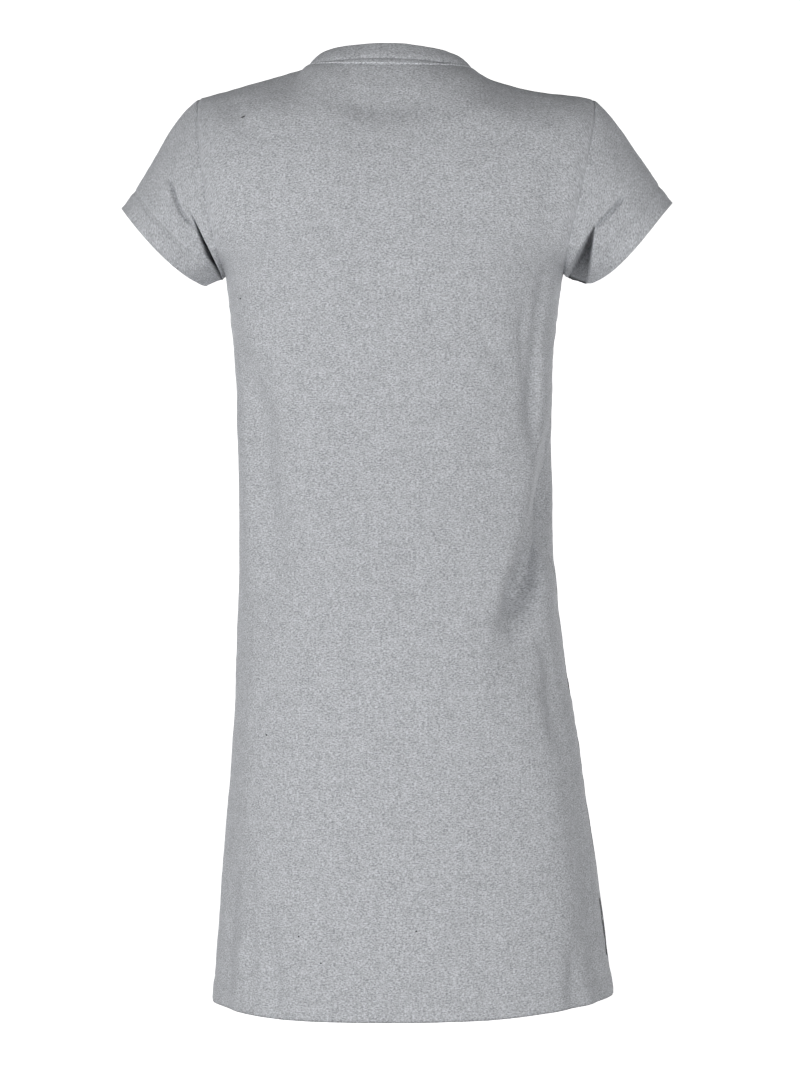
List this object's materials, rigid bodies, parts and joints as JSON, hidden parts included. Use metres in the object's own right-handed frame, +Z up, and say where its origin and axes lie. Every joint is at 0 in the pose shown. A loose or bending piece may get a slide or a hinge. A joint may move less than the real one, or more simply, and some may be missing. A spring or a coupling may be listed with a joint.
{
  "type": "house dress",
  "caption": "Short-sleeved knee-length jersey house dress with a rib crew neck, hollow and filled out as if worn, open at neck, cuffs and hem",
  "frame": {"origin": "midway between the two points where the shoulder seams meet the neck rib, which is where the wearer's shoulders hold the dress up", "axes": "+Z up along the wearer, +X to the wearer's left, +Y out of the wearer's back; the wearer faces -Y"},
  "size_m": [0.5044, 0.2495, 0.8688],
  "materials": {
    "jersey": "matt grey heather single jersey",
    "rib": "matt grey heather 1x1 rib"
  },
  "bodies": {
    "root": {"back_panel": "jersey", "front_panel": "jersey", "left_sleeve": "jersey", "right_sleeve": "jersey", "neck_rib": "rib"}
  },
  "joints": []
}
